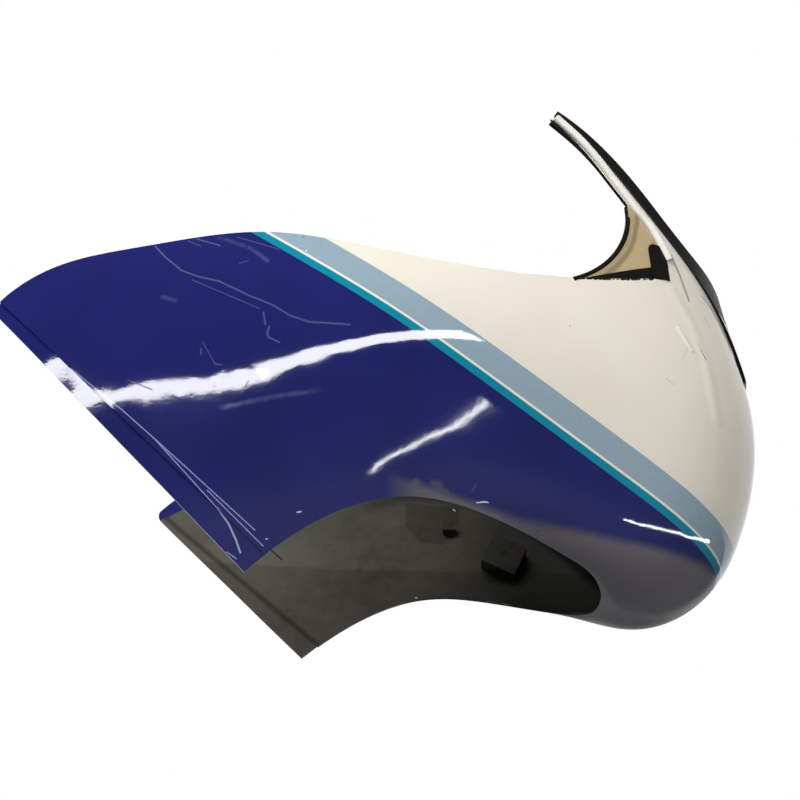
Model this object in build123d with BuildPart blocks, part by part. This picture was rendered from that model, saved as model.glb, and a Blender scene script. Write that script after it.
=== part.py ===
"""Upper half fairing of a motorcycle: one moulded shell with its screen trim.

Millimetres. X points to the nose, Y to the left, Z up. The origin lies on the stay bolt axis,
half way between the two stay brackets inside the flanks.
"""
import os
from collections import namedtuple

from build123d import *

# Wall of the moulding
wall = 3.0

# Heights that every loft section shares
waist_z = 100.0
shoulder_z = 185.0

# Loft stations round the shell, from the nose centre back along one flank.
# waist: plan point of the widest line. rim: end of the section at the lower opening.
# shoulder_in and crown_in: how far the section leans inwards above the waist.
# curl: 1 where the section turns under into the belly, 0 where the flank runs straight down.
Station = namedtuple("Station", "waist_x waist_y rim_x rim_y rim_z shoulder_in crown_in crown_z curl")
stations = [
    Station(273, 0, 89, 0, -103, 14, 22, 262, 1.0),
    Station(261, 60, 87, 36, -102, 12, 18, 270, 1.0),
    Station(225, 116, 76, 74, -95, 5, 6, 320, 0.85),
    Station(135, 168, 45, 108, -83, -3, 2, 410, 0.5),
    Station(0, 212, -20, 150, -60, -5, 0, 420, 0.15),
    Station(-108, 240, -108, 183, -47, -5, -3, 360, 0.0),
    Station(-250, 262, -250, 185, -116, -5, -5, 300, 0.0),
    Station(-365, 271, -365, 163, -190, -5, -5, 270, 0.0),
    Station(-490, 279, -490, 143, -265, -5, -5, 250, 0.0),
]

# Places of the section's turning points, as shares of its reach out and up from the rim.
# The first pair is for a straight flank, the second for a belly.
flank_turn = ((0.66, 0.60), (0.825, 0.305))
chin_turn = ((0.42, 0.36), (0.632, 0.048))
belly_turn = ((0.20, 0.165), (0.392, -0.070))

# Side outline, as X and Z: the flank's top edge, the screen pillar and the nose's top edge
rear_top = (-485.0, 107.0)
rear_tip = (-253.0, -116.0)
rear_corner_radius = 14.0
flank_top = [rear_top, (-426, 154), (-342, 180), (-237, 197), (-108, 182), (65, 179), (112, 187), (168, 202)]
pillar_rear = [flank_top[-1], (172, 222), (134, 291), (93, 353), (56, 392)]
pillar_front = [(62, 397), (103, 365), (152, 306), (204, 239), (242, 198), (280, 134)]
cut_reach = 440.0

# Band along the rear edge, set in so that the next panel laps over it
joggle = 2.0
band_width_top = 8.0
band_width_tip = 26.0
band_overrun = 60.0

# Slot near the top of the nose, one each side
slot_half_spacing = 84.0
slot_width = 4.0
slot_length = 18.0
slot_z = 152.0

# Boxed stay bracket on each flank, its bolt axis on the Y axis
stay_length = 44.0
stay_height = 38.0
stay_depth = 34.0
stay_wall = 3.0
stay_tilt = 27.0
stay_bore = 6.5

# Hook tab on each flank
hook_x = -67.0
hook_z = 51.0
hook_length = 18.0
hook_stand = 16.0
hook_lip = 12.0
hook_thickness = 3.0

# Glazing rubber: a channel on the front edge of the pillars and the top edge of the nose.
# Its reach beyond the edge and its grip behind it are given at each point of the pillar's front.
rubber_cover = 3.5
rubber_web = [5.0, 5.0, 4.0, 6.0, 18.0, 20.0]
rubber_grip = [3.0, 4.5, 9.0, 10.5, 16.0, 18.0]

# White bead along the rear edge of each pillar
bead_radius = 4.4
bead_start = 0.135
bead_end = 0.97
bead_sections = 7
bead_seat = [1.0, 1.5, 5.0, 5.0, 3.5]

# Ear between pillar and flank, its edging, its foot seal and its corner block, as X and Z
ear_thickness = 2.4
ear_heel = (62, 176)
ear_head = (134, 291)
ear_bow = (112, 218)
seal_toe = (70, 178)
seal_height = 21.0
trim_cover = 1.5
trim_width = 5.5
block_width = 17.0
block_height = 41.0
block_cover = 1.5
block_grip = 3.0
lap = 12.0

rear_run = (Vector(*rear_tip) - Vector(*rear_top)).normalized()
rear_in = Vector(-rear_run.Y, rear_run.X)


def mixed(turn, curl):
    """Turning point between the straight flank's and the belly's."""
    straight, belly = turn
    return tuple(a + (b - a) * curl for a, b in zip(straight, belly))


def section_plane(station, side):
    """Upright plane through the rim and the waist, X outwards from the rim."""
    out = Vector(station.waist_x - station.rim_x, side * (station.waist_y - station.rim_y), 0)
    origin = (station.rim_x, side * station.rim_y, 0)
    return Plane(origin, x_dir=out, z_dir=out.cross(Vector(0, 0, 1)))


def section_points(station):
    """Points of a section's outer curve, from its crown down to the rim."""
    reach = Vector(station.waist_x - station.rim_x, station.waist_y - station.rim_y).length
    rise = waist_z - station.rim_z
    points = [
        (reach - station.crown_in, station.crown_z),
        (reach - station.shoulder_in, shoulder_z),
        (reach, waist_z),
    ]
    for turn in (flank_turn, chin_turn, belly_turn):
        out, up = mixed(turn, station.curl)
        points.append((reach * out, station.rim_z + rise * up))
    points.append((0, station.rim_z))
    return points


def shifted_each(points, depths):
    """Points of a spline moved to the right of its run, each by its own depth."""
    points = [Vector(*point) for point in points]
    curve = Edge.make_spline(points)
    moved = []
    for point, depth in zip(points, depths):
        along = curve.tangent_at(point)
        moved.append(point + Vector(along.Y, -along.X) * depth)
    return moved


def shifted(points, depth):
    """Points of a spline moved to the right of its run by one depth."""
    return shifted_each(points, [depth] * len(points))


def skin(inset, depth):
    """Sheet that follows the whole form, its outer face set in from the drawn one."""
    with BuildPart() as sheet:
        fan = [(station, -1) for station in reversed(stations)]
        fan += [(station, 1) for station in stations[1:]]
        for station, side in fan:
            points = section_points(station)
            with BuildSketch(section_plane(station, side)):
                with BuildLine():
                    outer = Spline(shifted(points, inset))
                    inner = Spline(shifted(points, inset + depth))
                    Line(outer @ 0, inner @ 0)
                    Line(outer @ 1, inner @ 1)
                make_face()
        loft()
    return sheet.part


def side_outline():
    """Side view of the shell, as a solid across the whole width."""
    rear_foot = Vector(*rear_tip) + rear_run * cut_reach
    nose_end = pillar_front[-1]
    with BuildPart() as keep:
        with BuildSketch(Plane.XZ):
            with BuildLine():
                Spline(flank_top)
                Spline(pillar_rear)
                Line(pillar_rear[-1], pillar_front[0])
                Spline(pillar_front)
                Polyline(nose_end, (cut_reach, nose_end[1]), (cut_reach, rear_foot.Y), rear_foot, rear_top)
            make_face()
            fillet(vertices().sort_by(Axis.X)[0], rear_corner_radius)
        extrude(amount=cut_reach, both=True)
    return keep.part


def rear_band():
    """Strip of the side view behind the joggle, as a solid across the whole width."""
    top = Vector(*rear_top) - rear_run * band_overrun
    tip = Vector(*rear_tip) + rear_run * band_overrun
    with BuildPart() as band:
        with BuildSketch(Plane.XZ):
            with BuildLine():
                Polyline(top - rear_in * band_overrun, tip - rear_in * band_overrun,
                         tip + rear_in * band_width_tip, top + rear_in * band_width_top, close=True)
            make_face()
        extrude(amount=cut_reach, both=True)
    return band.part


def wall_hits(part, x, z, side):
    """Inner and outer points, with normals, where a line along Y passes one flank."""
    hits = part.find_intersection_points(Axis((x, 0, z), (0, side, 0)))
    return sorted((hit for hit in hits if hit[0].Y * side > 0), key=lambda hit: abs(hit[0].Y))


def spanning(sheet_inset, sheet_depth, outline):
    """Sheet along the form, kept inside a side-view outline."""
    with BuildPart() as piece:
        add(skin(sheet_inset, sheet_depth))
        add(outline, mode=Mode.INTERSECT)
    return piece.part


def across(points):
    """Straight-sided side-view outline, as a solid across the whole width."""
    with BuildPart() as block:
        with BuildSketch(Plane.XZ):
            with BuildLine():
                Polyline(points, close=True)
            make_face()
        extrude(amount=cut_reach, both=True)
    return block.part


def one_side(pair, side):
    """The piece of a mirrored pair on one side."""
    return pair.solids().filter_by(lambda solid: solid.center().Y * side > 0).sort_by(SortBy.VOLUME)[-1]


hands = {"right": -1, "left": 1}
os.makedirs("parts", exist_ok=True)

# The moulding: flanks, nose, belly and pillars, with the joggled bands along the rear edges
with BuildPart() as shell:
    add(skin(0, wall))
    add(rear_band(), mode=Mode.SUBTRACT)
    add(spanning(joggle, wall, rear_band()))
    add(side_outline(), mode=Mode.INTERSECT)
    with BuildSketch(Plane.YZ):
        with Locations((-slot_half_spacing, slot_z), (slot_half_spacing, slot_z)):
            SlotOverall(slot_length, slot_width, rotation=90)
    extrude(amount=cut_reach, mode=Mode.SUBTRACT)

# Stay brackets, open at the top for a spanner, seated in the thickness of the wall
with BuildPart() as stays:
    inner, outer = wall_hits(shell.part, 0, 0, hands["right"])
    end_plane = Plane((0, inner[0].Y - stay_depth * hands["right"], 0), z_dir=(0, hands["right"], 0),
                      x_dir=Vector(1, 0, 0).rotate(Axis.Y, stay_tilt))
    with BuildSketch(end_plane):
        Rectangle(stay_length, stay_height)
    extrude(amount=2 * stay_depth)
    with BuildSketch(end_plane.offset(stay_wall)):
        with Locations((0, stay_wall)):
            Rectangle(stay_length - 2 * stay_wall, stay_height)
    extrude(amount=2 * stay_depth, mode=Mode.SUBTRACT)
    with BuildSketch(end_plane):
        Circle(stay_bore / 2)
    extrude(amount=stay_wall, mode=Mode.SUBTRACT)
    split(bisect_by=Plane((inner[0] + outer[0]) / 2, z_dir=inner[1]), keep=Keep.TOP)
    mirror(about=Plane.XZ)

# Hook tabs
with BuildPart() as hooks:
    inner, outer = wall_hits(shell.part, hook_x, hook_z, hands["right"])
    lip_y = inner[0].Y + hook_stand
    with BuildSketch(Plane.YZ.offset(hook_x - hook_length / 2)):
        with BuildLine():
            Polyline((lip_y, hook_z), (lip_y, hook_z + hook_lip), (lip_y - hook_thickness, hook_z + hook_lip),
                     (lip_y - hook_thickness, hook_z + hook_thickness),
                     (lip_y - 2 * hook_stand, hook_z + hook_thickness), (lip_y - 2 * hook_stand, hook_z),
                     close=True)
        make_face()
    extrude(amount=hook_length)
    split(bisect_by=Plane((inner[0] + outer[0]) / 2, z_dir=inner[1]), keep=Keep.TOP)
    mirror(about=Plane.XZ)

with BuildPart() as fairing_shell:
    add(shell.part)
    add(stays.part)
    add(hooks.part)

# Glazing rubber, its groove cut by the edge that it grips
with BuildPart() as rubber_path:
    with BuildSketch(Plane.XZ):
        with BuildLine():
            web = Spline(shifted_each(pillar_front, [-reach for reach in rubber_web]))
            grip = Spline(shifted_each(pillar_front, rubber_grip))
            Line(web @ 0, grip @ 0)
            Line(web @ 1, grip @ 1)
        make_face()
    extrude(amount=cut_reach, both=True)

with BuildPart() as glazing_rubber:
    add(spanning(-rubber_cover, wall + 2 * rubber_cover, rubber_path.part))
    add(fairing_shell.part, mode=Mode.SUBTRACT)

# Bead along the rear edge of the pillars, the outer half of a round bar
with BuildPart() as bars:
    seat = Edge.make_spline(shifted_each(pillar_rear, bead_seat))
    places = []
    for step in range(bead_sections):
        place = seat.position_at(bead_start + (bead_end - bead_start) * step / (bead_sections - 1))
        places.append(wall_hits(shell.part, place.X, place.Y, hands["right"])[-1][0])
    line = Edge.make_spline(places)
    for place in places:
        with BuildSketch(Plane(place, z_dir=line.tangent_at(place))):
            Circle(bead_radius)
    loft()
    mirror(about=Plane.XZ)

with BuildPart() as beads:
    add(bars.part)
    add(skin(0, wall + 2 * bead_radius), mode=Mode.SUBTRACT)
    add(glazing_rubber.part, mode=Mode.SUBTRACT)

# Corner block, ear, foot seal and ear edging, each cut by what it seats on and hollowed for the bar
root_x, root_z = pillar_rear[0]

with BuildPart() as block_path:
    with BuildSketch(Plane.XZ):
        with BuildLine():
            Polyline((root_x - block_width, root_z - block_grip), (root_x + block_grip, root_z - block_grip),
                     (root_x + block_grip, root_z + block_height),
                     (root_x - block_width, root_z + block_height), close=True)
        make_face()
        fillet(vertices().group_by(Axis.Y)[-1].sort_by(Axis.X)[0], block_width / 2)
    extrude(amount=cut_reach, both=True)

with BuildPart() as blocks:
    add(spanning(-block_cover, wall + 2 * block_cover, block_path.part))
    add(fairing_shell.part, mode=Mode.SUBTRACT)
    add(bars.part, mode=Mode.SUBTRACT)

with BuildPart() as seals:
    add(spanning(0, wall, across([seal_toe, (root_x + lap, root_z + seal_height), (root_x + lap, root_z - lap),
                                  (seal_toe[0], seal_toe[1] - lap)])))
    for neighbour in (fairing_shell, bars, blocks):
        add(neighbour.part, mode=Mode.SUBTRACT)

with BuildPart() as ear_path:
    with BuildSketch(Plane.XZ):
        with BuildLine():
            free_edge = ThreePointArc(ear_heel, ear_bow, ear_head)
            Polyline(free_edge @ 1, (ear_head[0] + lap, ear_head[1]), (root_x + lap, root_z),
                     (root_x, root_z - lap), free_edge @ 0)
        make_face()
    extrude(amount=cut_reach, both=True)

with BuildPart() as ears:
    add(spanning((wall - ear_thickness) / 2, ear_thickness, ear_path.part))
    for neighbour in (fairing_shell, bars, blocks, seals):
        add(neighbour.part, mode=Mode.SUBTRACT)

with BuildPart() as trim_path:
    with BuildSketch(Plane.XZ):
        with BuildLine():
            ThreePointArc(ear_heel, ear_bow, ear_head)
        trace(line_width=trim_width)
    extrude(amount=cut_reach, both=True)

# The edging stops at the flank's top edge
with BuildPart() as under_flank:
    with BuildSketch(Plane.XZ):
        with BuildLine():
            Spline(flank_top)
            Polyline(flank_top[-1], (root_x, -cut_reach), (rear_top[0], -cut_reach), rear_top)
        make_face()
    extrude(amount=cut_reach, both=True)

with BuildPart() as trims:
    add(spanning(-trim_cover, wall + 2 * trim_cover, trim_path.part))
    add(under_flank.part, mode=Mode.SUBTRACT)
    for neighbour in (fairing_shell, bars, seals, ears):
        add(neighbour.part, mode=Mode.SUBTRACT)

fairing_shell.part.label = "fairing_shell"
export_step(fairing_shell.part, "parts/fairing_shell.step")
glazing_rubber.part.label = "glazing_rubber"
export_step(glazing_rubber.part, "parts/glazing_rubber.step")
pairs = {"edge_bead": beads, "corner_block": blocks, "ear_seal": seals, "screen_ear": ears,
         "ear_edge_trim": trims}
for name, pair in pairs.items():
    for hand, side in hands.items():
        with BuildPart() as piece:
            add(one_side(pair.part, side))
        piece.part.label = f"{name}_{hand}"
        export_step(piece.part, f"parts/{name}_{hand}.step")
    print(name, [round(solid.volume, 1) for solid in pair.part.solids()])
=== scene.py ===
"""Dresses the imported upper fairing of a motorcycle: paint, bare inside, rubber trim, ears and stage.

Metres, in the row frame: X to the nose, Y to the left, Z up, origin on the stay bolt axis.
"""
import math

import bmesh
import bpy
import numpy as np
from bpy.props import FloatProperty, FloatVectorProperty, PointerProperty
from mathutils import Matrix, Vector
from mathutils.bvhtree import BVHTree


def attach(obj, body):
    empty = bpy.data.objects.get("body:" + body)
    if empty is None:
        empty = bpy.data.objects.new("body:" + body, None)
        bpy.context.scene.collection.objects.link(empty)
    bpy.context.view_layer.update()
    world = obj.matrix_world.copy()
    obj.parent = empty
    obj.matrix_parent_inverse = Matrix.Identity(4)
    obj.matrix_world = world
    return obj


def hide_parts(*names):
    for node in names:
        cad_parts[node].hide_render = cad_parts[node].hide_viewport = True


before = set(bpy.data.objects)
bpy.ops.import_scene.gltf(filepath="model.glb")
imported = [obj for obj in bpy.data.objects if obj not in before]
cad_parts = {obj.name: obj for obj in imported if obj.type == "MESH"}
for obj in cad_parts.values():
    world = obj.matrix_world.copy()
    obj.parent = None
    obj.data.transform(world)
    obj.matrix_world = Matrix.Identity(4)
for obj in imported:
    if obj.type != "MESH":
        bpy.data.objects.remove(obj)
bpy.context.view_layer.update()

bl_info = {
    "name": "Upper Fairing Dresser",
    "version": (1, 0, 0),
    "blender": (4, 5, 0),
    "location": "View3D > Sidebar > Fairing",
    "description": "Paints and trims the moulded upper fairing of a motorcycle",
    "category": "Object",
}

HANDS = {"right": -1, "left": 1}

# Paths in side view, as X and Z: bead on the pillar's rear edge, edging of the ear, foot of the ear
BEAD_PATH = ((0.1737, 0.2275), (0.1601, 0.2618), (0.1419, 0.2884), (0.1242, 0.3154), (0.1068, 0.3425),
             (0.0869, 0.3679), (0.0612, 0.3922))
EDGING_PATH = ((0.0640, 0.1770), (0.0826, 0.1881), (0.1006, 0.2038), (0.1151, 0.2228), (0.1258, 0.2442),
               (0.1322, 0.2672), (0.1340, 0.2900))
SEAL_PATH = ((0.066, 0.1792), (0.090, 0.1828), (0.112, 0.1868), (0.140, 0.1938), (0.164, 0.2005))
BEAD_LIFT = (0.0010, 0.0010, 0.0010, 0.0012, 0.0018, 0.0024, 0.0028)
BLACK_LINE_THICKNESS = (0.0012, 0.0012, 0.0012, 0.0013, 0.0016, 0.0026, 0.0036)

# Wear, marks, painted highlights and painted shade on the right flank, as runs of X and Z points
SCRATCHES = (
    ((-0.3410, 0.1782), (-0.3285, 0.1644), (-0.3133, 0.1510), (-0.2966, 0.1442), (-0.2772, 0.1396),
     (-0.2490, 0.1252), (-0.2262, 0.1161), (-0.2095, 0.1059), (-0.1918, 0.1005), (-0.1544, 0.1000)),
    ((-0.2342, 0.1081), (-0.2321, 0.0963)),
    ((-0.2285, 0.0947), (-0.2302, 0.0879), (-0.2289, 0.0844), (-0.2189, 0.0800)),
    ((-0.2903, 0.0719), (-0.2902, 0.0674)),
    ((-0.3017, 0.1868), (-0.2796, 0.1797)),
)
FINE_SCRATCHES = (
    ((-0.3023, 0.1407), (-0.2850, 0.1326), (-0.2692, 0.1255), (-0.2385, 0.1119)),
    ((-0.2887, 0.0781), (-0.2773, 0.0587), (-0.2710, 0.0583)),
    ((-0.3101, 0.1844), (-0.2972, 0.1787)),
    ((-0.2637, 0.1899), (-0.2232, 0.1770)),
    ((-0.2594, 0.1596), (-0.2512, 0.1627)),
    ((-0.0402, -0.0324), (-0.0441, -0.0384)),
)
SCUFFS = (
    ((-0.2799, 0.1883), (-0.2560, 0.1802)),
    ((-0.2511, 0.1788), (-0.2333, 0.1633)),
    ((-0.3281, 0.1222), (-0.3161, 0.1189)),
    ((-0.2707, 0.0203), (-0.2476, 0.0263), (-0.1822, 0.0395)),
)
# Painted highlights: pale lines along the creases of the rear flange, where the gloss catches the light
CREASE_HIGHLIGHTS = (
    ((-0.4080, 0.0530), (-0.3630, 0.0193), (-0.3315, -0.0068), (-0.2892, -0.0506), (-0.2744, -0.0656),
     (-0.2655, -0.0769), (-0.2589, -0.0904), (-0.2551, -0.1009)),
    ((-0.3315, -0.0068), (-0.2802, -0.0504), (-0.2415, -0.0827)),
    ((-0.2835, -0.0506), (-0.2655, -0.0672), (-0.2345, -0.0955)),
    ((-0.2670, -0.1007), (-0.2585, -0.1062)),
)
CREASE_FOOT_HIGHLIGHT = (((-0.2744, -0.0656), (-0.2655, -0.0769), (-0.2589, -0.0904), (-0.2551, -0.1009)),)
CHIPS = (
    ((-0.0406, -0.0471), (-0.0293, -0.0469)),
    ((-0.2035, -0.0662), (-0.2010, -0.0653)),
    ((-0.2312, -0.0895), (-0.2306, -0.0893)),
    ((-0.1975, 0.1760), (-0.1968, 0.1772)),
)
DULL_MARKS = (
    ((-0.3564, 0.0436), (-0.3342, 0.0354)),
    ((-0.2534, 0.0345), (-0.2466, 0.0447)),
    ((-0.2780, 0.0390), (-0.2774, 0.0390)),
    ((-0.3285, 0.0250), (-0.3262, 0.0245)),
)
RUBBED = (
    ((-0.0999, -0.0387), (-0.0955, -0.0340)),
    ((-0.0800, -0.0350), (-0.0735, -0.0350)),
    ((-0.0765, -0.0400), (-0.0700, -0.0400)),
    ((-0.0950, -0.0430), (-0.0680, -0.0410)),
)
DARK_MARKS = (
    ((0.0566, 0.1219), (0.0570, 0.1221)),
    ((0.1955, 0.1235), (0.2001, 0.1130)),
    ((0.0170, -0.0668), (0.0192, -0.0672)),
    ((-0.2012, 0.1929), (-0.1995, 0.1929)),
)
FAINT_MARKS = (
    ((0.2070, 0.1683), (0.2116, 0.1579)),
    ((0.1720, 0.1060), (0.1810, 0.1220)),
    ((0.1916, 0.1345), (0.1955, 0.1235)),
    ((0.1520, 0.0820), (0.1600, 0.0760)),
)
# Painted shade along the shallow hollow below the pillar
GROOVE_SHADE = (((0.1779, 0.2370), (0.1848, 0.2117), (0.1907, 0.1814)),)
RIM_SCUFFS = (((0.2099, 0.1975), (0.2206, 0.1885), (0.2308, 0.1750)),)
# Raised mark on the nose, bumped in the paint's normal, with a painted highlight in a lighter tone along it
DENT_AND_HIGHLIGHT = (((0.1730, 0.1400), (0.1845, 0.1195)),)
NOSE_RIDGE = (((0.1720, 0.1880), (0.1880, 0.1560), (0.2000, 0.1140), (0.2030, 0.0810), (0.2060, 0.0510)),)
SEALANT = (((0.0680, 0.1800), (0.0900, 0.1840), (0.1120, 0.1885), (0.1400, 0.1955), (0.1680, 0.2010)),)

# Marks and painted shade inside the left flank
PATCH = ((-0.126, 0.106), (-0.053, 0.091), (-0.0555, 0.0616), (-0.077, 0.034), (-0.106, 0.042),
         (-0.126, 0.0695))
INNER_SPECKS = (((-0.0612, 0.0885), (-0.0590, 0.0860)), ((-0.1115, -0.0428), (-0.1095, -0.0428)))
INNER_SLIT = (((-0.3120, 0.0460), (-0.2935, 0.0285)),)
# Painted shade along the fold inside
INNER_FOLD_SHADE = (((-0.4795, 0.1128), (-0.2350, -0.0973)),)

# Kinds of wear, marks, painted highlights and painted shade: runs of points, half width of the core and soft
# border in metres, strength
WEAR_AND_PAINTED_LIGHT = {
    "scratch": (SCRATCHES, 0.0001, 0.0011, 0.21),
    "fine scratch": (FINE_SCRATCHES, 0.0, 0.0008, 0.18),
    "scuff": (SCUFFS, 0.0004, 0.0028, 0.13),
    "rubbed": (RUBBED, 0.0008, 0.0040, 0.6),
    "crease": (CREASE_HIGHLIGHTS, 0.0, 0.0007, 0.75),
    "crease foot": (CREASE_FOOT_HIGHLIGHT, 0.0004, 0.0007, 0.75),
    "chip": (CHIPS, 0.0002, 0.0006, 1.0),
    "groove": (GROOVE_SHADE, 0.0003, 0.0016, 0.75),
    "faint mark": (FAINT_MARKS, 0.0001, 0.0009, 0.28),
    "rim scuff": (RIM_SCUFFS, 0.0008, 0.0020, 0.55),
    "dark mark": (DARK_MARKS, 0.0002, 0.0007, 0.7),
    "dent": (DENT_AND_HIGHLIGHT, 0.0006, 0.0024, 0.6),
    "sealant": (SEALANT, 0.0010, 0.0004, 1.0),
    "dull mark": (DULL_MARKS, 0.0, 0.0006, 1.0),
}

# Tones that are mixed into the main colours
WHITE_SHADE = (0.78, 0.74, 0.645)
SCRATCH_TONE = (0.36, 0.38, 0.68)
RUBBED_TONE = (0.085, 0.085, 0.095)
# Painted highlight on the creases of the rear flange
CREASE_HIGHLIGHT_TONE = (0.50, 0.52, 0.90)
CHIP_TONE = (0.75, 0.75, 0.74)
# Painted shade in the hollow below the pillar
GROOVE_SHADE_TONE = (0.16, 0.13, 0.10)
FAINT_TONE = (0.17, 0.15, 0.15)
DARK_TONE = (0.06, 0.05, 0.045)
# Painted highlight on the raised mark of the nose
DENT_HIGHLIGHT_TONE = (0.95, 0.91, 0.82)
INSIDE_DUST = (0.088, 0.083, 0.069)
SPECK_TONE = (0.35, 0.35, 0.32)
# Painted shade on the cut edge near the nose
EDGE_SHADE_BLACK = (0.010, 0.010, 0.009)
RUBBER_DUST = (0.016, 0.015, 0.013)
BEAD_STAIN = (0.70, 0.66, 0.56)
# Painted shade and reflection in the bronze ears
EAR_BAND_SHADE = (0.20, 0.145, 0.075)
EAR_SHADE = (0.24, 0.18, 0.09)

# Borders between finishes, in metres
STRIPE_BLUR = 0.0003
HEM_HEIGHT, HEM_RISE, HEM_BLUR = 0.160, 2.4, 0.0004
EAR_CENTRE, EAR_RADIUS = (0.0101, 0.2885), 0.1239

# Heights of the paint's waviness and grain, and of the ridge and the dent with their reach, in metres
WAVE_HEIGHT, GRAIN_HEIGHT = 0.00010, 0.000012
SWELLS = ((NOSE_RIDGE, 0.010, 0.0011), (DENT_AND_HIGHLIGHT, 0.0045, 0.0009))

# Reading the moulding's faces: thickest wall that counts as skin, and how far a ray starts off a face
SKIN_LIMIT = 0.0075
RAY_STEP = 1e-5
SHARP_TURN = math.radians(28)

# Seating of the grown trim against the skin, in metres
EDGING_INSET, EDGING_DEPTH, EDGING_BEND = 0.003, -0.0012, 0.25
SEALANT_DROP, SEALANT_DEPTH, SEALANT_RISE = 0.0025, -0.0008, 0.0018
BLACK_LINE_DEPTH, BLACK_LINE_SHIFT = -0.0020, (-0.0038, 0, -0.0026)
BAR_POINTS, BAR_SIDES = 72, 22
LUMP_COUNT, LUMP_SMALLEST, LUMP_SEED = 64, 0.35, 11

# Lamps: name, ends of the length, height, radiance, point that it faces, shown in the gloss only
FLANK, NOSE, BODY = (-0.2, -0.25, 0.05), (0.15, -0.1, -0.05), (-0.1, 0, 0.05)
LAMPS = (
    ("key", (-2.2, -1.7, 1.7), (0.0, -2.2, 1.7), 1.2, 8.8, BODY, False),
    ("front", (0.15, -2.6, 0.25), (0.95, -2.3, 0.25), 0.8, 9.0, (0.1, -0.1, 0.05), False),
    ("fill", (1.0, 1.6, 1.9), (-1.2, 1.6, 1.9), 1.2, 5.0, BODY, False),
    ("left_strip", (-1.15, -3.0, -0.60), (-0.08, -3.0, -0.37), 0.14, 22.0, FLANK, True),
    ("right_strip", (-0.12, -3.0, -0.36), (1.55, -3.0, 0.54), 0.24, 22.0, FLANK, True),
    ("streak", (0.57, -1.90, -0.84), (0.89, -1.93, -0.38), 0.016, 34.0, FLANK, True),
    ("nose_strip", (0.95, -1.25, -0.88), (1.70, 0.05, -0.54), 0.035, 26.0, NOSE, True),
)

# Floor and background: size, floor's tone in the room and for the camera, gloss before and behind
FLOOR_SIZE = 14
FLOOR_TONE, FLOOR_SEEN = (0.28, 0.28, 0.275), (0.85, 0.85, 0.84)
ROOM_TONE, WHITE = (1.0, 0.985, 0.95), (1, 1, 1)
GLOSS_FROM, GLOSS_TO = (-0.05, 0.5), (0.03, 0.9)


class FairingPaint(bpy.types.PropertyGroup):
    """Colours and stripe places of the painted outside."""

    blue: FloatVectorProperty(
        name="Blue", description="Main colour of the lower flank",
        subtype="COLOR", size=3, min=0, max=1, default=(0.0150, 0.0190, 0.138))
    teal: FloatVectorProperty(
        name="Teal", description="Narrow stripe above the blue",
        subtype="COLOR", size=3, min=0, max=1, default=(0.006, 0.235, 0.340))
    silver: FloatVectorProperty(
        name="Silver blue", description="Broad metallic stripe",
        subtype="COLOR", size=3, min=0, max=1, default=(0.27, 0.37, 0.44))
    white: FloatVectorProperty(
        name="White", description="Upper flank, nose and pillars",
        subtype="COLOR", size=3, min=0, max=1, default=(0.81, 0.775, 0.67))
    # Grey of the underside: partly a thin grey coat, partly painted shade and floor reflection
    underside: FloatVectorProperty(
        name="Underside", description="Thin grey coat under the nose and along the arch",
        subtype="COLOR", size=3, min=0, max=1, default=(0.140, 0.132, 0.155))
    slope: FloatProperty(
        name="Stripe slope", description="Fall of the stripes for each metre towards the nose",
        default=0.628)
    teal_low: FloatProperty(
        name="Teal, lower edge", description="Height of the edge above the origin",
        subtype="DISTANCE", unit="LENGTH", default=0.0385)
    teal_top: FloatProperty(
        name="Teal, upper edge", description="Height of the edge above the origin",
        subtype="DISTANCE", unit="LENGTH", default=0.0474)
    silver_low: FloatProperty(
        name="Silver, lower edge", description="Height of the edge above the origin",
        subtype="DISTANCE", unit="LENGTH", default=0.0502)
    silver_top: FloatProperty(
        name="Silver, upper edge", description="Height of the edge above the origin",
        subtype="DISTANCE", unit="LENGTH", default=0.0800)
    bare: FloatVectorProperty(
        name="Bare plastic", description="Unpainted inside of the moulding",
        subtype="COLOR", size=3, min=0, max=1, default=(0.066, 0.064, 0.053))
    cut: FloatVectorProperty(
        name="Cut edge", description="Worn edge of the moulding along the arch",
        subtype="COLOR", size=3, min=0, max=1, default=(0.24, 0.24, 0.20))


class FairingTrim(bpy.types.PropertyGroup):
    """Colours and sizes of the trim."""

    rubber: FloatVectorProperty(
        name="Rubber", description="Black rubber of channel, edging, seal and block",
        subtype="COLOR", size=3, min=0, max=1, default=(0.010, 0.010, 0.009))
    bead: FloatVectorProperty(
        name="Bead", description="White bead on the rear edge of the pillars",
        subtype="COLOR", size=3, min=0, max=1, default=(0.82, 0.80, 0.75))
    tint: FloatVectorProperty(
        name="Ear tint", description="Bronze-tinted sheet of the ears",
        subtype="COLOR", size=3, min=0, max=1, default=(0.48, 0.380, 0.215))
    bead_width: FloatProperty(
        name="Bead half width", description="Reach of the bead to each side of its line",
        subtype="DISTANCE", unit="LENGTH", default=0.0047)
    bead_height: FloatProperty(
        name="Bead half height", description="Rise of the bead over its line",
        subtype="DISTANCE", unit="LENGTH", default=0.0038)
    edging_radius: FloatProperty(
        name="Edging radius", description="Radius of the rubber edging on the ear's free curve",
        subtype="DISTANCE", unit="LENGTH", default=0.0028)
    sealant_radius: FloatProperty(
        name="Sealant radius", description="Largest lump of the ragged sealant at the ear's foot",
        subtype="DISTANCE", unit="LENGTH", default=0.0020)


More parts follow.
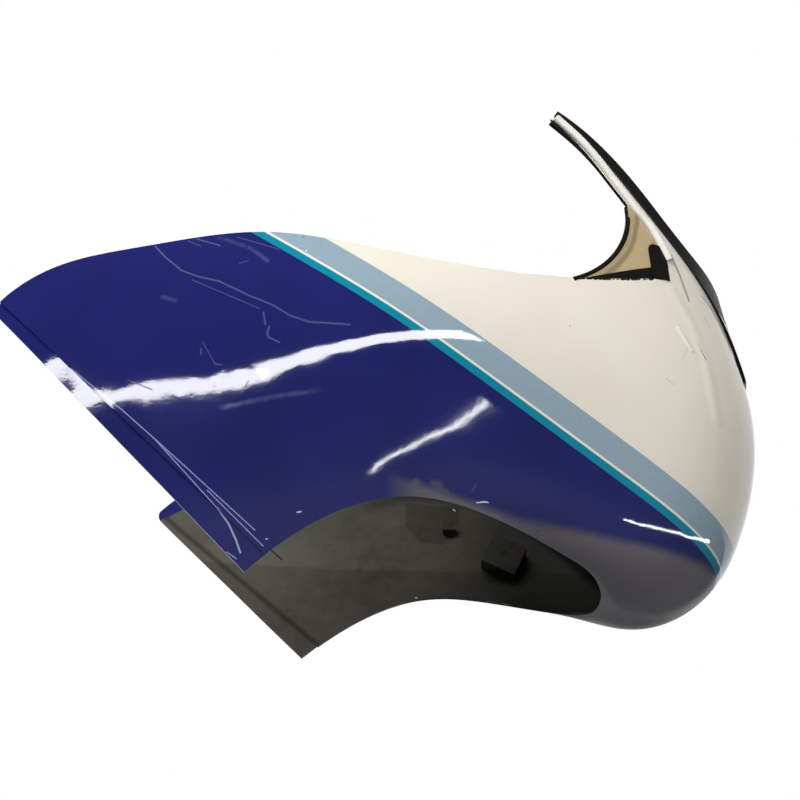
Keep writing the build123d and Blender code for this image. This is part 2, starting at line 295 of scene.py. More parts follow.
class FairingStage(bpy.types.PropertyGroup):
    """Camera, lamps and floor."""

    camera_turn: FloatProperty(
        name="Camera turn", description="Turn of the view about the upright axis",
        subtype="ANGLE", default=math.radians(3.1))
    camera_climb: FloatProperty(
        name="Camera climb", description="How far the view looks upwards",
        subtype="ANGLE", default=math.radians(26.5))
    camera_reach: FloatProperty(
        name="Camera distance", description="Distance to the point that the view is set on",
        subtype="DISTANCE", unit="LENGTH", default=0.9065)
    camera_target: FloatVectorProperty(
        name="Camera target", description="Point on the near flank at the middle of the view",
        subtype="XYZ", unit="LENGTH", size=3, default=(-0.108, -0.2405, 0.024))
    lens: FloatProperty(name="Lens", description="Focal length on a 36 mm wide sensor, in mm", default=45.0)
    floor_drop: FloatProperty(
        name="Floor drop", description="Depth of the floor under the origin",
        subtype="DISTANCE", unit="LENGTH", default=1.05)
    room_light: FloatProperty(
        name="Room light", description="Strength of the even light from all round", default=0.24)


# Node trees


class Tree:
    """A material's node tree, with short calls that add nodes and join them."""

    def __init__(self, name):
        self.material = bpy.data.materials.new(name)
        self.material.use_nodes = True
        self.tree = self.material.node_tree
        self.tree.nodes.clear()
        coordinates = self.node("ShaderNodeTexCoord").outputs
        self.place, self.facing = coordinates["Object"], coordinates["Normal"]

    def node(self, kind, settings=None, inputs=None):
        made = self.tree.nodes.new(kind)
        for key, value in (settings or {}).items():
            setattr(made, key, value)
        for key, value in (inputs or {}).items():
            self.feed(made.inputs[key], value)
        return made

    def feed(self, socket, value):
        if isinstance(value, bpy.types.NodeSocket):
            self.tree.links.new(value, socket)
        elif socket.type == "RGBA" and len(value) == 3:
            socket.default_value = (*value, 1.0)
        else:
            socket.default_value = value

    def math(self, operation, first, second=0.0, third=0.0):
        settings = {"operation": operation}
        return self.node("ShaderNodeMath", settings, {0: first, 1: second, 2: third}).outputs[0]

    def vector(self, operation, first, second, third=None, output=0):
        inputs = {0: first, 1: second}
        if third is not None:
            inputs[2] = third
        return self.node("ShaderNodeVectorMath", {"operation": operation}, inputs).outputs[output]

    def span(self, value, low, high, to_low=0.0, to_high=1.0, smooth=False):
        settings = {"clamp": True, "interpolation_type": "SMOOTHSTEP" if smooth else "LINEAR"}
        inputs = {"Value": value, "From Min": low, "From Max": high, "To Min": to_low, "To Max": to_high}
        return self.node("ShaderNodeMapRange", settings, inputs).outputs["Result"]

    def mix(self, share, first, second, blend="MIX"):
        settings = {"data_type": "RGBA", "blend_type": blend}
        made = self.node("ShaderNodeMix", settings, {0: share})
        self.feed(made.inputs[6], first)
        self.feed(made.inputs[7], second)
        return made.outputs[2]

    def noise(self, scale, detail=3.0, roughness=0.5, output="Fac"):
        inputs = {"Vector": self.place, "Scale": scale, "Detail": detail, "Roughness": roughness}
        return self.node("ShaderNodeTexNoise", None, inputs).outputs[output]

    def axes(self):
        return self.node("ShaderNodeSeparateXYZ", None, {0: self.place}).outputs

    def side_view(self, side):
        """X and Z of one side, with the other side moved far off."""
        x, y, z = self.axes()
        far = self.math("MAXIMUM", self.math("MULTIPLY", y, -10.0 * side), 0.0)
        return self.node("ShaderNodeCombineXYZ", None, {0: x, 1: far, 2: z}).outputs[0]

    def gap(self, place, runs):
        """Distance in side view from the nearest of some runs of points."""
        nearest = None
        for run in runs:
            for (x, z), (far_x, far_z) in zip(run, run[1:]):
                start = Vector((x, 0, z))
                way = Vector((far_x, 0, far_z)) - start
                share = self.vector("DOT_PRODUCT", self.vector("SUBTRACT", place, start),
                                    way / way.length_squared, output="Value")
                share = self.node("ShaderNodeClamp", None, {0: share}).outputs[0]
                foot = self.vector("MULTIPLY_ADD", share, way, start)
                found = self.vector("DISTANCE", place, foot, output="Value")
                nearest = found if nearest is None else self.math("MINIMUM", nearest, found)
        return nearest

    def mark(self, place, runs, reach, soft):
        """1 on some runs of points and 0 away from them."""
        return self.span(self.gap(place, runs), reach, reach + soft, 1.0, 0.0)

    def loss(self, share, most):
        """1 where a share is 0, and less by the most that is lost where it is 1."""
        return self.math("MULTIPLY_ADD", share, -most, 1.0)

    def within(self, place, corners, soft):
        """1 inside a bulging outline in side view, given clockwise, and 0 outside it."""
        inside = None
        for (x, z), (far_x, far_z) in zip(corners, corners[1:] + corners[:1]):
            inwards = Vector((far_z - z, 0, x - far_x)).normalized()
            depth = self.math("SUBTRACT", self.vector("DOT_PRODUCT", place, inwards, output="Value"),
                              inwards.dot((x, 0, z)))
            inside = depth if inside is None else self.math("MINIMUM", inside, depth)
        return self.span(inside, -soft, soft)

    def bump(self, height, distance, normal=None):
        inputs = {"Height": height, "Distance": distance, "Strength": 1.0}
        if normal is not None:
            inputs["Normal"] = normal
        return self.node("ShaderNodeBump", None, inputs).outputs[0]

    def surface(self, inputs):
        shader = self.node("ShaderNodeBsdfPrincipled", None, inputs)
        out = self.node("ShaderNodeOutputMaterial")
        self.tree.links.new(shader.outputs[0], out.inputs["Surface"])
        return self.material


def toned(colour, share):
    """A colour, darker or lighter all over."""
    return [share * part for part in colour]


def clouded_white(tree, paint, cloud):
    return tree.mix(tree.span(cloud, 0.3, 0.7), paint.white, WHITE_SHADE)


def dusty_rubber(tree, trim):
    """The rubber's colour, and the dust on it."""
    dust = tree.noise(45.0, 4.0, 0.65)
    return tree.mix(tree.span(dust, 0.5, 0.75, 0.0, 0.6), trim.rubber, RUBBER_DUST), dust


def striped_paint(tree, paint, line, cloud):
    """Blue, teal, white, silver and white, one above the other along the slanting line."""

    def above(height):
        return tree.span(line, height - STRIPE_BLUR, height + STRIPE_BLUR)

    blue = tree.mix(tree.span(cloud, 0.35, 0.65), paint.blue, toned(paint.blue, 0.86))
    white = clouded_white(tree, paint, cloud)
    flake = tree.span(tree.noise(420.0, 2.0), 0.3, 0.7, 0.0, 0.5)
    silver = tree.mix(flake, paint.silver, toned(paint.silver, 1.12))
    colour = tree.mix(above(paint.teal_low), blue, paint.teal)
    colour = tree.mix(above(paint.teal_top), colour, white)
    colour = tree.mix(above(paint.silver_low), colour, silver)
    return tree.mix(above(paint.silver_top), colour, white)


def grey_coat_and_reflection(tree, paint, line, shaken):
    """1 along the arch and under the nose, below a line that falls to the nose: partly a thin grey coat,
    partly painted shade and floor reflection on the blue.
    """
    x, _, z = tree.axes()
    border = tree.math("MULTIPLY_ADD", x, 0.145, tree.math("ADD", z, 0.0575))
    border = tree.math("MULTIPLY_ADD", tree.math("MINIMUM", x, 0.0), 0.105, border)
    border = tree.math("MULTIPLY_ADD", tree.math("SUBTRACT", shaken, 0.5), 0.0025, border)
    below = tree.span(border, -0.008, 0.004, 1.0, 0.0, True)
    under = tree.math("MULTIPLY", below, tree.span(x, -0.125, -0.085))
    under_blue = tree.span(line, paint.teal_low, paint.teal_low + 0.002, 1.0, 0.25)
    return tree.math("MULTIPLY", under, under_blue)


def paint_material(paint, trim):
    tree = Tree("gloss_paint")
    x, _, z = tree.axes()
    line = tree.math("MULTIPLY_ADD", x, paint.slope, z)
    cloud = tree.noise(11.0, 3.0)
    shaken = tree.noise(70.0, 3.0, 0.6)
    colour = striped_paint(tree, paint, line, cloud)
    # Grey under the nose and along the arch: partly a thin grey coat, partly painted shade and floor
    # reflection
    under = grey_coat_and_reflection(tree, paint, line, shaken)
    grey = tree.mix(tree.span(cloud, 0.35, 0.65), paint.underside, toned(paint.underside, 0.8))
    colour = tree.mix(under, colour, grey)

    # Wear, marks, painted highlights and painted shade on the right flank
    right = tree.side_view(-1)
    wobble = tree.vector("SUBTRACT", tree.noise(130.0, 2.0, output="Color"), (0.5, 0.5, 0.5))
    wobbly = tree.vector("MULTIPLY_ADD", wobble, (0.003, 0.0, 0.003), right)
    broken = tree.span(shaken, 0.35, 0.65, 0.25, 1.0)

    def marked_by(kind, place=right, gaps=None):
        runs, reach, soft, strength = WEAR_AND_PAINTED_LIGHT[kind]
        share = tree.mark(place, runs, reach, soft)
        if gaps is not None:
            share = tree.math("MULTIPLY", share, gaps)
        return tree.math("MULTIPLY", share, strength)

    scratched = tree.math("MAXIMUM", marked_by("scratch"), marked_by("fine scratch"))
    scratched = tree.math("MAXIMUM", scratched, marked_by("scuff", wobbly, broken))
    rubbed = marked_by("rubbed", wobbly)
    sealed = marked_by("sealant", wobbly)
    layers = (
        (scratched, SCRATCH_TONE),
        (rubbed, RUBBED_TONE),
        # Painted highlight along the creases of the rear flange
        (tree.math("MAXIMUM", marked_by("crease"), marked_by("crease foot")), CREASE_HIGHLIGHT_TONE),
        (marked_by("chip", wobbly), CHIP_TONE),
        # Painted shade in the hollow below the pillar
        (marked_by("groove"), GROOVE_SHADE_TONE),
        (tree.math("MAXIMUM", marked_by("faint mark"), marked_by("rim scuff", wobbly, broken)), FAINT_TONE),
        (marked_by("dark mark"), DARK_TONE),
        # Painted highlight on the raised mark of the nose
        (marked_by("dent"), DENT_HIGHLIGHT_TONE),
        (sealed, trim.rubber),
    )
    for share, tone in layers:
        colour = tree.mix(share, colour, tone)

    # Gloss, dulled by wear, over the moulding's waviness
    rough = tree.math("MULTIPLY_ADD", tree.noise(26.0, 4.0, 0.6), 0.05, 0.02)
    dulled = tree.math("MAXIMUM", scratched, marked_by("dull mark"))
    matt = tree.math("MAXIMUM", under, rubbed)
    for share, added in ((dulled, 0.4), (matt, 0.32), (sealed, 0.3)):
        rough = tree.math("MULTIPLY_ADD", share, added, rough)
    normal = tree.bump(tree.noise(26.0, 2.0), WAVE_HEIGHT)
    normal = tree.bump(tree.noise(330.0, 2.0), GRAIN_HEIGHT, normal)
    for runs, reach, height in SWELLS:
        swell = tree.span(tree.gap(right, runs), 0.0, reach, 1.0, 0.0, True)
        normal = tree.bump(swell, height, normal)
    return tree.surface({"Base Color": colour, "Roughness": rough, "IOR": 1.5, "Normal": normal})


def inside_shade_and_marks(tree, left):
    """Painted shade: darker below the bend in the wall, above a curve under the arch, along the fold and
    towards the nose, and lighter towards the rear; darker too in the patch behind the bracket and along the
    slit.
    """
    x, _, z = tree.axes()
    low = tree.math("MULTIPLY_ADD", x, 0.115, tree.math("ADD", z, 0.016))
    bent = tree.math("MULTIPLY_ADD", x, -0.728, 0.063)
    bent = tree.math("MULTIPLY_ADD", tree.math("MULTIPLY", x, x), -3.07, bent)
    upper = tree.span(tree.math("SUBTRACT", z, bent), -0.008, 0.010, 0.0, 1.0, True)
    upper = tree.math("MULTIPLY", upper, tree.span(x, -0.24, -0.06, 0.0, 1.0, True))
    # Painted shade: below the bend, along the fold, above the curve and towards the nose, and lighter towards
    # the rear
    shade = tree.span(low, -0.002, 0.003, 0.72, 1.0)
    for other in (
        tree.loss(tree.within(left, PATCH, 0.0012), 0.30),
        tree.span(x, -0.15, 0.04, 1.0, 0.28, True),
        tree.span(x, -0.34, -0.14, 1.65, 1.0, True),
        tree.loss(tree.mark(left, INNER_FOLD_SHADE, 0.0010, 0.0045), 0.5),
        tree.loss(upper, 0.75),
        tree.loss(tree.mark(left, INNER_SLIT, 0.0006, 0.0010), 0.8),
    ):
        shade = tree.math("MULTIPLY", shade, other)
    return tree.node("ShaderNodeCombineXYZ", None, {0: shade, 1: shade, 2: shade}).outputs[0]


def bare_material(paint):
    tree = Tree("bare_plastic")
    x, _, z = tree.axes()
    fine = tree.noise(60.0, 4.0, 0.6)
    cloud = tree.span(tree.noise(7.0, 5.0, 0.62), 0.32, 0.68)
    colour = tree.mix(cloud, toned(paint.bare, 0.62), paint.bare)
    colour = tree.mix(tree.span(fine, 0.4, 0.7, 0.0, 0.35), colour, INSIDE_DUST)
    left = tree.side_view(1)
    # Painted shade and marks multiplied into the bare plastic
    colour = tree.mix(1.0, colour, inside_shade_and_marks(tree, left), "MULTIPLY")

    # Outside colour carried over the rear top corner
    over = tree.math("MULTIPLY_ADD", x, -0.58, tree.math("SUBTRACT", z, 0.3764))
    over = tree.math("MULTIPLY", tree.span(over, -0.001, 0.001), tree.span(x, -0.440, -0.425, 1.0, 0.0))
    colour = tree.mix(over, colour, paint.blue)
    colour = tree.mix(tree.mark(left, INNER_SPECKS, 0.0003, 0.0009), colour, SPECK_TONE)
    rough = tree.span(fine, 0.3, 0.7, 0.42, 0.62)
    return tree.surface({"Base Color": colour, "Roughness": rough, "Specular IOR Level": 0.10,
                         "Normal": tree.bump(fine, 0.0003)})


def edge_material(paint):
    """Worn along the arch; black from the bracket to the nose, as painted shade on the edge."""
    tree = Tree("cut_edge")
    worn = tree.noise(90.0, 4.0, 0.6)
    colour = tree.mix(tree.span(worn, 0.35, 0.65), paint.cut, toned(paint.cut, 0.5))
    # Painted shade: the edge turns black from the bracket to the nose
    colour = tree.mix(tree.span(tree.axes()[0], -0.13, -0.10), colour, EDGE_SHADE_BLACK)
    return tree.surface({"Base Color": colour, "Roughness": 0.55, "Normal": tree.bump(worn, 0.0003)})


def rubber_material(trim):
    tree = Tree("worn_rubber")
    colour, dust = dusty_rubber(tree, trim)
    rough = tree.span(dust, 0.3, 0.7, 0.30, 0.50)
    return tree.surface({"Base Color": colour, "Roughness": rough, "Specular IOR Level": 0.04})


def glazing_material(paint, trim):
    """Rubber above the hem and on the faces that look back, and the nose's paint on the lower front."""
    tree = Tree("glazing_rubber_and_paint")
    _, y, z = tree.axes()
    hem = tree.math("MULTIPLY_ADD", tree.math("MULTIPLY", y, y), HEM_RISE, HEM_HEIGHT)
    rim = tree.span(tree.math("SUBTRACT", z, hem), -HEM_BLUR, HEM_BLUR)
    forward = tree.vector("DOT_PRODUCT", tree.facing, (1.0, 0.0, 0.0), output="Value")
    rubber = tree.math("MAXIMUM", rim, tree.span(forward, -0.50, -0.40, 1.0, 0.0))
    black, _ = dusty_rubber(tree, trim)
    colour = tree.mix(rubber, clouded_white(tree, paint, tree.noise(11.0, 3.0)), black)
    rough = tree.math("MULTIPLY_ADD", rubber, 0.38, 0.05)
    return tree.surface({"Base Color": colour, "Roughness": rough, "Specular IOR Level": 0.2})


def bead_material(trim):
    tree = Tree("gloss_bead")
    stain = tree.noise(30.0, 4.0, 0.6)
    colour = tree.mix(tree.span(stain, 0.45, 0.75, 0.0, 0.7), trim.bead, BEAD_STAIN)
    rough = tree.span(stain, 0.3, 0.7, 0.18, 0.34)
    return tree.surface({"Base Color": colour, "Roughness": rough, "Specular IOR Level": 0.25})


def ear_material(trim):
    """Bronze sheet with painted shade and reflection: darker near its free curve, a dark band inside it and a
    darker tone further in.
    """
    tree = Tree("bronze_sheet")
    x, _, z = tree.axes()
    across = tree.math("SUBTRACT", x, EAR_CENTRE[0])
    up = tree.math("SUBTRACT", z, EAR_CENTRE[1])
    ring = tree.math("ADD", tree.math("MULTIPLY", across, across), tree.math("MULTIPLY", up, up))
    depth = tree.math("SUBTRACT", tree.math("SQRT", ring), EAR_RADIUS)
    cloud = tree.noise(35.0, 3.0)
    depth = tree.math("MULTIPLY_ADD", tree.math("SUBTRACT", cloud, 0.5), 0.006, depth)
    # Painted shade and reflection in the bronze sheet
    colour = tree.mix(tree.span(depth, 0.0095, 0.0125), toned(trim.tint, 0.86), trim.tint)
    band = tree.math("MULTIPLY", tree.span(depth, 0.0065, 0.0085), tree.span(depth, 0.0115, 0.0135, 1.0, 0.0))
    colour = tree.mix(tree.math("MULTIPLY", band, 0.6), colour, EAR_BAND_SHADE)
    inner = tree.math("MULTIPLY", tree.span(depth, 0.027, 0.031), tree.span(z, 0.225, 0.236))
    colour = tree.mix(tree.math("MULTIPLY", inner, 0.45), colour, EAR_SHADE)
    rough = tree.span(cloud, 0.3, 0.7, 0.14, 0.28)
    return tree.surface({"Base Color": colour, "Roughness": rough, "IOR": 1.5})


# Meshes


def joined_triangles(node):
    """A CAD node's corners, joined where they meet, and its triangles."""
    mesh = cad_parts[node].data
    points = np.empty(len(mesh.vertices) * 3, np.float32)
    mesh.vertices.foreach_get("co", points)
    points = points.reshape(-1, 3)
    corners = np.empty(len(mesh.loops), np.int32)
    mesh.loops.foreach_get("vertex_index", corners)
    keys = np.round(points.astype(float) * 1e6).astype(np.int64)
    _, first, place = np.unique(keys, axis=0, return_index=True, return_inverse=True)
    faces = place.reshape(-1)[corners].reshape(-1, 3)
    keep = (faces[:, 0] != faces[:, 1]) & (faces[:, 1] != faces[:, 2]) & (faces[:, 2] != faces[:, 0])
    return points[first].astype(float), faces[keep]


def piece_from(name, points, faces):
    """A new piece with smooth faces and sharp edges where the form turns a corner."""
    mesh = bpy.data.meshes.new(name)
    mesh.from_pydata(points.tolist(), [], faces.tolist())
    sheet = bmesh.new()
    sheet.from_mesh(mesh)
    for face in sheet.faces:
        face.smooth = True
    for edge in sheet.edges:
        edge.smooth = edge.calc_face_angle(0) < SHARP_TURN
    sheet.to_mesh(mesh)
    sheet.free()
    piece = bpy.data.objects.new(name, mesh)
    bpy.context.scene.collection.objects.link(piece)
    return piece


def seat(piece, slot, *nodes):
    """Lets a piece stand for its CAD nodes, if any, and ride on the one body."""
    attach(piece, "root")
    if nodes:
        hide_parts(*nodes)


# Kinds of face on the moulding, as places in its list of materials
PAINTED, BARE, CUT, BLACKED = range(4)


def shell_kinds(points, faces):
    """For each triangle of the moulding: painted, bare, cut edge or blacked edge."""
    a, b, c = points[faces[:, 0]], points[faces[:, 1]], points[faces[:, 2]]
    centre = (a + b + c) / 3
    normal = np.cross(b - a, c - a)
    normal /= np.maximum(np.linalg.norm(normal, axis=1), 1e-15)[:, None]
    spine = np.zeros_like(centre)
    spine[:, 0] = np.clip(centre[:, 0], -0.48, 0.12)
    spine[:, 2] = 0.08
    outward = ((centre - spine) * normal).sum(1) > 0
    tree = BVHTree.FromPolygons(points.tolist(), faces.tolist())
    kinds = np.full(len(faces), BARE, np.int32)
    for number, (place, way) in enumerate(zip(centre, normal)):
        x, _, z = place
        way, place = Vector(way), Vector(place)
        _, far_way, _, through = tree.ray_cast(place - way * RAY_STEP, -way)
        open_out = outward[number] and tree.ray_cast(place + way * RAY_STEP, way)[3] is None
        skin = through is not None and through <= SKIN_LIMIT
        if skin and (abs(way.y) > 0.45 or far_way.dot(way) < -0.75):
            kinds[number] = PAINTED if open_out else BARE
        elif abs(x) < 0.11 and abs(z) < 0.09:
            kinds[number] = PAINTED if open_out and abs(way.y) > 0.6 else BARE
            if z < -0.035 and abs(way.y) < 0.6:
                kinds[number] = CUT
        elif x > 0.04 and z > 0.19:
            kinds[number] = BLACKED
        elif z > 0.09 or way.x < -0.55 and x < -0.235:
            kinds[number] = PAINTED
        else:
            kinds[number] = CUT
    return kinds


class FAIRING_OT_shell(bpy.types.Operator):
    """Paint the moulding outside and leave it bare inside"""

    bl_idname = "fairing.shell"
    bl_label = "Shell"

    def execute(self, context):
        paint = context.scene.fairing_paint
        trim = context.scene.fairing_trim
        points, faces = joined_triangles("fairing_shell")
        piece = piece_from("painted_cowl", points, faces)
        for material in (paint_material(paint, trim), bare_material(paint), edge_material(paint),
                         trim_material("rubber")):
            piece.data.materials.append(material)
        piece.data.polygons.foreach_set("material_index", shell_kinds(points, faces))
        seat(piece, "painted_shell", "fairing_shell")
        return {"FINISHED"}


def trim_material(kind):
    """The one material of its kind for all trim."""
    makers = {"rubber": ("worn_rubber", rubber_material), "bead": ("gloss_bead", bead_material)}
    name, maker = makers[kind]
    return bpy.data.materials.get(name) or maker(bpy.context.scene.fairing_trim)


# Pieces that follow a path


class Growth:
    """A Geometry Nodes tree, with short calls that add nodes and join them."""

    def __init__(self, name, sizes):
        self.tree = bpy.data.node_groups.new(name, "GeometryNodeTree")
        face = self.tree.interface
        face.new_socket("Geometry", in_out="INPUT", socket_type="NodeSocketGeometry")
        for size in sizes:
            face.new_socket(size, in_out="INPUT", socket_type="NodeSocketFloat")
        face.new_socket("Material", in_out="INPUT", socket_type="NodeSocketMaterial")
        face.new_socket("Geometry", in_out="OUTPUT", socket_type="NodeSocketGeometry")
        self.given = self.tree.nodes.new("NodeGroupInput").outputs
        self.out = self.tree.nodes.new("NodeGroupOutput")

    def node(self, kind, inputs=None, **settings):
        made = self.tree.nodes.new(kind)
        for key, value in settings.items():
            setattr(made, key, value)
        for key, value in (inputs or {}).items():
            if isinstance(value, bpy.types.NodeSocket):
                self.tree.links.new(value, made.inputs[key])
            else:
                made.inputs[key].default_value = value
        return made

    def path(self, count):
        """The given run of points as a smooth curve with evenly spaced points."""
        curve = self.node("GeometryNodeMeshToCurve", {0: self.given["Geometry"]}).outputs[0]
        curve = self.node("GeometryNodeCurveSplineType", {"Curve": curve},
                          spline_type="CATMULL_ROM").outputs[0]
        return self.node("GeometryNodeResampleCurve", {"Curve": curve, "Count": count}).outputs[0]

    def attribute(self, name, kind):
        return self.node("GeometryNodeInputNamedAttribute", {"Name": name}, data_type=kind).outputs[0]

    def end(self, geometry):
        geometry = self.node("GeometryNodeSetShadeSmooth", {0: geometry}).outputs[0]
        geometry = self.node("GeometryNodeRealizeInstances", {0: geometry}).outputs[0]
        finished = self.node("GeometryNodeSetMaterial", {0: geometry, "Material": self.given["Material"]})
        self.tree.links.new(finished.outputs[0], self.out.inputs[0])
        return self.tree


def bar_tree():
    """Round or oval bar along a path, thick as the path says, turned by the path's outward way."""
    growth = Growth("bar_on_path", ("Width", "Height"))
    turned = growth.node("GeometryNodeSetCurveNormal",
                         {"Curve": growth.path(BAR_POINTS), "Normal": growth.attribute("out", "FLOAT_VECTOR")},
                         mode="FREE").outputs[0]
    profile = growth.node("GeometryNodeCurvePrimitiveCircle",
                          {"Resolution": BAR_SIDES, "Radius": 1.0}).outputs[0]
    scale = growth.node("ShaderNodeCombineXYZ",
                        {0: growth.given["Height"], 1: growth.given["Width"], 2: 1.0}).outputs[0]
    profile = growth.node("GeometryNodeTransform", {"Geometry": profile, "Scale": scale}).outputs[0]
    bar = growth.node("GeometryNodeCurveToMesh",
                      {"Curve": turned, "Profile Curve": profile, "Scale": growth.attribute("thick", "FLOAT"),
                       "Fill Caps": True}).outputs[0]
    return growth.end(bar)


def lump_tree():
    """Uneven lumps close together along a path."""
    growth = Growth("lumps_on_path", ("Radius",))
    lump = growth.node("GeometryNodeMeshIcoSphere",
                       {"Radius": growth.given["Radius"], "Subdivisions": 2}).outputs[0]
    scale = growth.node("FunctionNodeRandomValue", {2: LUMP_SMALLEST, 3: 1.0, "Seed": LUMP_SEED},
                        data_type="FLOAT").outputs[1]
    lumps = growth.node("GeometryNodeInstanceOnPoints",
                        {"Points": growth.path(LUMP_COUNT), "Instance": lump, "Scale": scale}).outputs[0]
    return growth.end(lumps)


def grown_piece(name, tree, places, outs, thick, values):
    """A plain mesh that a tree grows along a run of points."""
    path = bpy.data.meshes.new(name)
    path.from_pydata([tuple(place) for place in places], [(k, k + 1) for k in range(len(places) - 1)], [])
    out = path.attributes.new("out", "FLOAT_VECTOR", "POINT")
    out.data.foreach_set("vector", [part for way in outs for part in way])
    path.attributes.new("thick", "FLOAT", "POINT").data.foreach_set("value", thick)
    piece = bpy.data.objects.new(name, path)
    bpy.context.scene.collection.objects.link(piece)
    modifier = piece.modifiers.new("grow", "NODES")
    modifier.node_group = tree
    sockets = {item.name: item.identifier for item in tree.interface.items_tree if item.in_out == "INPUT"}
    for key, value in values.items():
        modifier[sockets[key]] = value
    piece.update_tag()
    bpy.context.view_layer.update()
    evaluated = piece.evaluated_get(bpy.context.evaluated_depsgraph_get())
    grown = bpy.data.meshes.new_from_object(evaluated)
    piece.modifiers.clear()
    piece.data = grown
    bpy.data.meshes.remove(path)
    grown.name = name
    if not grown.polygons:
        raise RuntimeError(f"{name} grew no faces")
    grown.materials.clear()
    grown.materials.append(values["Material"])
    grown.polygons.foreach_set("material_index", [0] * len(grown.polygons))
    return piece


def skin_tree(node):
    points, faces = joined_triangles(node)
    return BVHTree.FromPolygons(points.tolist(), faces.tolist())


def skin_points(skin, path, side, lift):
    """Points over a path in side view, on the outer face of one side, and the ways out of it."""
    places, outs = [], []
    for x, z in path:
        place, out, _, _ = skin.ray_cast(Vector((x, side, z)), Vector((0, -side, 0)))
        if place is None or place.y * side < 0:
            raise RuntimeError(f"no skin at {x}, {z}")
        places.append(place + out * lift)
        outs.append(out)
    return places, outs


def edging_points(ear, side):
    """Points on an ear's free curve, at the depth of the sheet just inside it, and the ways out of it."""
    inset = []
    for x, z in EDGING_PATH:
        inwards, down = (0.6, 0.8) if z < EDGING_BEND else (1, 0.2)
        inset.append((x + EDGING_INSET * inwards, z - EDGING_INSET * down))
    places, outs = skin_points(ear, inset[1:-1], side, EDGING_DEPTH)
    places = [Vector((x, place.y, z)) for place, (x, z) in zip(places, EDGING_PATH[1:-1])]
    first, last = EDGING_PATH[0], EDGING_PATH[-1]
    places.insert(0, Vector((first[0], places[0].y * 2 - places[1].y, first[1])))
    places.append(Vector((last[0], places[-1].y * 2 - places[-2].y, last[1])))
    return places, [outs[0], *outs, outs[-1]]


class FAIRING_OT_rubber(bpy.types.Operator):
    """Dress the glazing rubber, ear edging, seals and corner blocks"""

    bl_idname = "fairing.rubber"
    bl_label = "Rubber trim"

    def execute(self, context):
        trim = context.scene.fairing_trim
        material = trim_material("rubber")
        glazing = glazing_material(context.scene.fairing_paint, trim)
        nodes = ["glazing_rubber"]
        nodes += [f"{name}_{hand}" for name in ("ear_seal", "corner_block") for hand in HANDS]
        for node in nodes:
            piece = piece_from("dressed_" + node, *joined_triangles(node))
            piece.data.materials.append(glazing if node == "glazing_rubber" else material)
            seat(piece, "black_rubber", node)
        bar, lumps = bar_tree(), lump_tree()
        shell = skin_tree("fairing_shell")
        for hand, side in HANDS.items():
            places, outs = edging_points(skin_tree(f"screen_ear_{hand}"), side)
            piece = grown_piece(f"edging_{hand}", bar, places, outs, [1.0] * len(places),
                                {"Width": trim.edging_radius, "Height": trim.edging_radius,
                                 "Material": material})
            seat(piece, "black_rubber", f"ear_edge_trim_{hand}")
            low = [(x, z - SEALANT_DROP) for x, z in SEAL_PATH]
            places, outs = skin_points(shell, low, side, SEALANT_DEPTH)
            places = [place + Vector((0, 0, SEALANT_RISE)) for place in places]
            piece = grown_piece(f"sealant_{hand}", lumps, places, outs, [1.0] * len(places),
                                {"Radius": trim.sealant_radius, "Material": material})
            seat(piece, "black_rubber")
            # A thin black bar along each pillar's rear edge, beside the bead
            places, outs = skin_points(shell, BEAD_PATH, side, BLACK_LINE_DEPTH)
            places = [place + Vector(BLACK_LINE_SHIFT) for place in places]
            piece = grown_piece(f"pillar_black_line_{hand}", bar, places, outs, BLACK_LINE_THICKNESS,
                                {"Width": 1.0, "Height": 1.0, "Material": material})
            seat(piece, "black_rubber")
        return {"FINISHED"}


class FAIRING_OT_beads(bpy.types.Operator):
    """Grow the white beads along the rear edges of the pillars"""

    bl_idname = "fairing.beads"
    bl_label = "Beads"

    def execute(self, context):
        trim = context.scene.fairing_trim
        material = trim_material("bead")
        bar = bar_tree()
        shell = skin_tree("fairing_shell")
        for hand, side in HANDS.items():
            places, outs = skin_points(shell, BEAD_PATH, side, 0.0)
            places = [place + out * lift for place, out, lift in zip(places, outs, BEAD_LIFT)]
            piece = grown_piece(f"bead_{hand}", bar, places, outs, [1.0] * len(places),
                                {"Width": trim.bead_width, "Height": trim.bead_height, "Material": material})
            seat(piece, "white_bead", f"edge_bead_{hand}")
        return {"FINISHED"}


class FAIRING_OT_ears(bpy.types.Operator):
    """Dress the tinted ears between pillars and flanks"""

    bl_idname = "fairing.ears"
    bl_label = "Ears"

    def execute(self, context):
        material = ear_material(context.scene.fairing_trim)
        for hand in HANDS:
            node = f"screen_ear_{hand}"
            piece = piece_from("dressed_" + node, *joined_triangles(node))
            piece.data.materials.append(material)
            seat(piece, "tinted_ear", node)
        return {"FINISHED"}


# Stage


def set_camera(stage):
    climb, turn = stage.camera_climb, stage.camera_turn
    right = Vector((math.cos(turn), math.sin(turn), 0))
    level = Vector((-math.sin(turn), math.cos(turn), 0))
    forward = level * math.cos(climb) + Vector((0, 0, math.sin(climb)))
    up = right.cross(forward)
    data = bpy.data.cameras.new("photo_camera")
    data.lens = stage.lens
    data.sensor_width = 36.0
    data.clip_start, data.clip_end = 0.01, 50.0
    camera = bpy.data.objects.new("photo_camera", data)
    turned = Matrix((right, up, -forward)).transposed().to_4x4()
    stand = Vector(stage.camera_target) - forward * stage.camera_reach
    camera.matrix_world = Matrix.Translation(stand) @ turned
    bpy.context.scene.collection.objects.link(camera)
    bpy.context.scene.camera = camera


